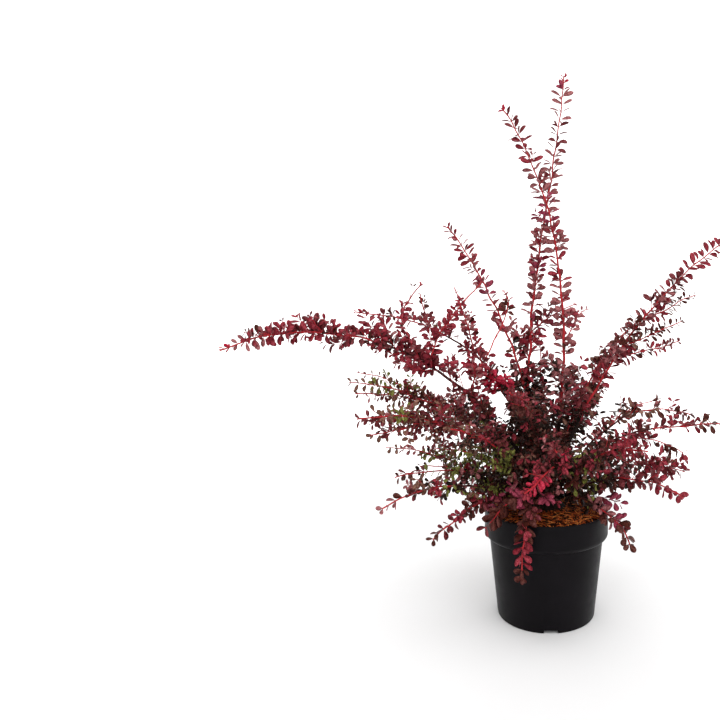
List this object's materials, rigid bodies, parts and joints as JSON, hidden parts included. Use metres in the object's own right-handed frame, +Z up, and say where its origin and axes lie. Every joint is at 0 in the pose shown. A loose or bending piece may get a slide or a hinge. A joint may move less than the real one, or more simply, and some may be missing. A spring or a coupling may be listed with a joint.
{
  "type": "potted japanese barberry",
  "caption": "Open, arching shrub with small dark purple leaves on many thin canes, growing in a round black nursery pot with a collar.",
  "frame": {"origin": "centre of the pot's flat underside", "axes": "+Z up; the side the picture shows faces -Y, with the long arching cane towards -X"},
  "size_m": [0.8434, 0.5842, 1.0044],
  "materials": {
    "pot_plastic": "satin black moulded plastic",
    "wood_fibre": "loose reddish brown wood fibre mulch",
    "bark": "dark brown ridged bark",
    "leaf_purple": "satin, dark purple",
    "leaf_wine": "satin, wine red",
    "leaf_crimson": "satin, crimson new growth",
    "leaf_bronze": "satin, bronze",
    "leaf_olive": "satin, olive green"
  },
  "bodies": {
    "root": {"pot": "pot_plastic", "growing_medium": "wood_fibre", "basal_stem": "bark", "bough_tall": "bark", "bough_second": "bark", "bough_left_upright": "bark", "bough_right_spear": "bark", "bough_right_inner": "bark", "bough_left_arch": "bark", "bough_left_high": "bark", "bough_left_mid": "bark", "bough_left_cluster": "bark", "bough_front_wine": "bark", "bough_front_left": "bark", "bough_front_right": "bark", "bough_left_crimson": "bark", "bough_right_mid": "bark", "bough_right_long": "bark", "bough_right_low": "bark", "bough_back_upright": "bark", "bough_back_left": "bark", "bough_back_right": "bark", "bough_back_mid": "bark", "bough_back_high": "bark", "foliage_tall": "leaf_purple", "foliage_second": "leaf_purple", "foliage_left_upright": "leaf_purple", "foliage_right_spear": "leaf_wine", "foliage_right_inner": "leaf_purple", "foliage_left_arch": "leaf_purple", "foliage_left_high": "leaf_wine", "foliage_left_mid": "leaf_bronze", "foliage_left_cluster": "leaf_purple", "foliage_left_green": "leaf_olive", "foliage_left_low": "leaf_wine", "foliage_left_droop": "leaf_purple", "foliage_left_fall": "leaf_purple", "foliage_front_fall": "leaf_crimson", "foliage_front_crimson": "leaf_crimson", "foliage_front_wine": "leaf_wine", "foliage_front_left": "leaf_wine", "foliage_front_mid": "leaf_purple", "foliage_front_right": "leaf_wine", "foliage_left_crimson": "leaf_crimson", "foliage_right_mid": "leaf_purple", "foliage_right_long": "leaf_bronze", "foliage_right_low": "leaf_wine", "foliage_right_lower": "leaf_purple", "foliage_right_fall": "leaf_purple", "foliage_back_upright": "leaf_purple", "foliage_back_left": "leaf_purple", "foliage_back_right": "leaf_purple", "foliage_back_mid": "leaf_bronze", "foliage_back_high": "leaf_purple", "foliage_back_low_left": "leaf_olive", "foliage_back_low": "leaf_purple", "foliage_back_low_right": "leaf_purple", "foliage_back_fall": "leaf_purple"}
  },
  "joints": []
}
